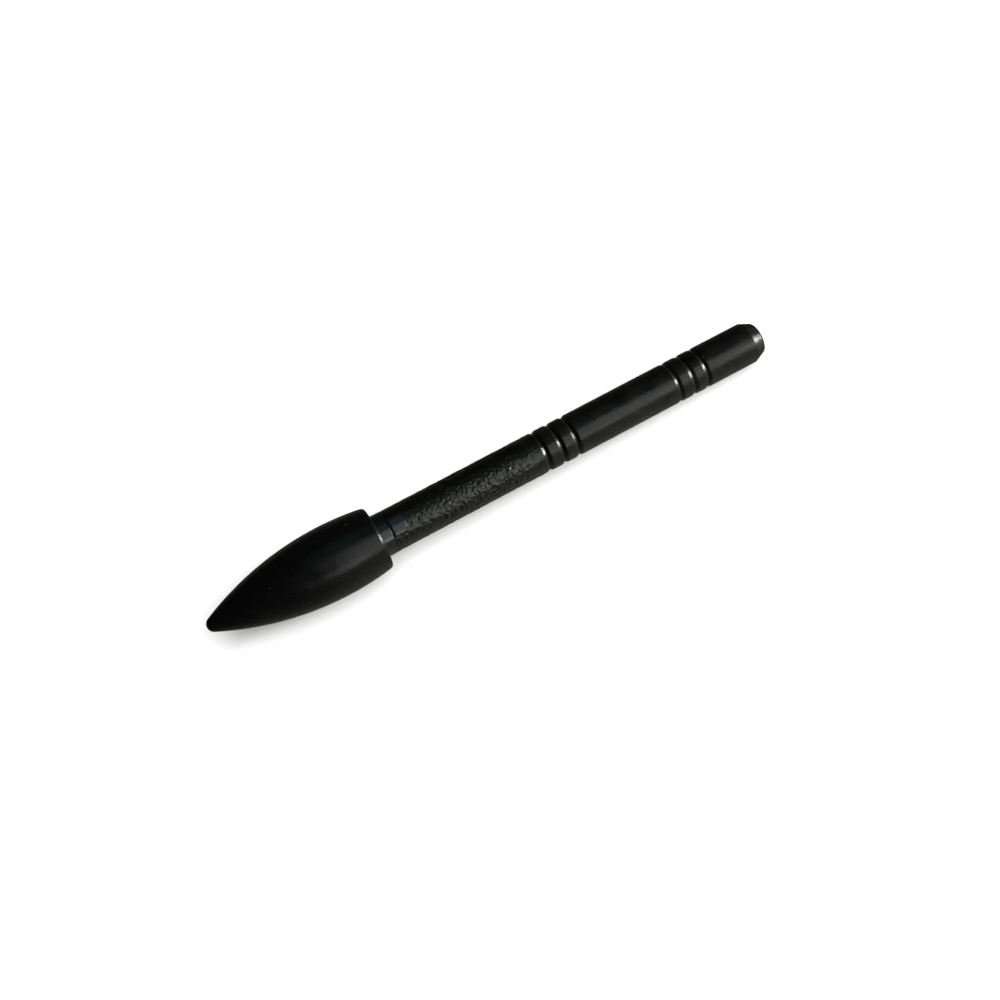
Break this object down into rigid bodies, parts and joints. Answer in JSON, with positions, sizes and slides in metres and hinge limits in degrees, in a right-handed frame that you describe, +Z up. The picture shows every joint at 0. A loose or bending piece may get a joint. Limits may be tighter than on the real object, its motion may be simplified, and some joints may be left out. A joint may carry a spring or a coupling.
{
  "type": "clay shaper",
  "caption": "Slim black modelling tool: a firm bullet-shaped head on a grooved round handle, for pressing and smoothing clay.",
  "frame": {"origin": "centre of the whole tool's box, which is the middle of its length on its turning axis", "axes": "+X runs along the tool from the pointed tip to the flat tail; +Z points up through the smooth pad's side of the handle; +Y completes a right-handed set"},
  "size_m": [0.144, 0.0168, 0.0168],
  "materials": {
    "handle_plastic": "black moulded plastic, satin, stippled on the front barrel",
    "head_silicone": "firm black silicone, smooth satin",
    "seal_rubber": "matt black seal rubber",
    "washer_nylon": "natural nylon",
    "insert_brass": "turned brass",
    "rod_steel": "bright drawn steel"
  },
  "bodies": {
    "handle": {"core_rod": "rod_steel", "neck_collar": "handle_plastic", "front_barrel": "handle_plastic", "grip_ring_1": "handle_plastic", "grip_ring_2": "handle_plastic", "rear_barrel": "handle_plastic", "grip_ring_3": "handle_plastic", "grip_ring_4": "handle_plastic"},
    "head_seal": {"head_o_ring": "seal_rubber"},
    "head": {"shaping_head": "head_silicone", "head_insert": "insert_brass"},
    "cap_washer": {"cap_washer": "washer_nylon"},
    "tail_cap": {"tail_cap": "handle_plastic", "tail_insert": "insert_brass"}
  },
  "joints": [
    {"name": "head_travel", "type": "slide", "parent": "handle", "child": "head_seal", "axis": [-1, 0, 0], "range_m": [0, 0.004]},
    {"name": "head_turn", "type": "hinge", "parent": "head_seal", "child": "head", "pos_m": [-0.0298, 0, 0], "axis": [-1, 0, 0], "range_deg": [0, 1800]},
    {"name": "cap_travel", "type": "slide", "parent": "handle", "child": "cap_washer", "axis": [1, 0, 0], "range_m": [0, 0.004]},
    {"name": "cap_turn", "type": "hinge", "parent": "cap_washer", "child": "tail_cap", "pos_m": [0.0555, 0, 0], "axis": [1, 0, 0], "range_deg": [0, 1800]}
  ],
  "couplings": [
    {"joint": "head_turn", "follows": "head_travel", "rad_per_m": 7854},
    {"joint": "cap_turn", "follows": "cap_travel", "rad_per_m": 7854}
  ]
}
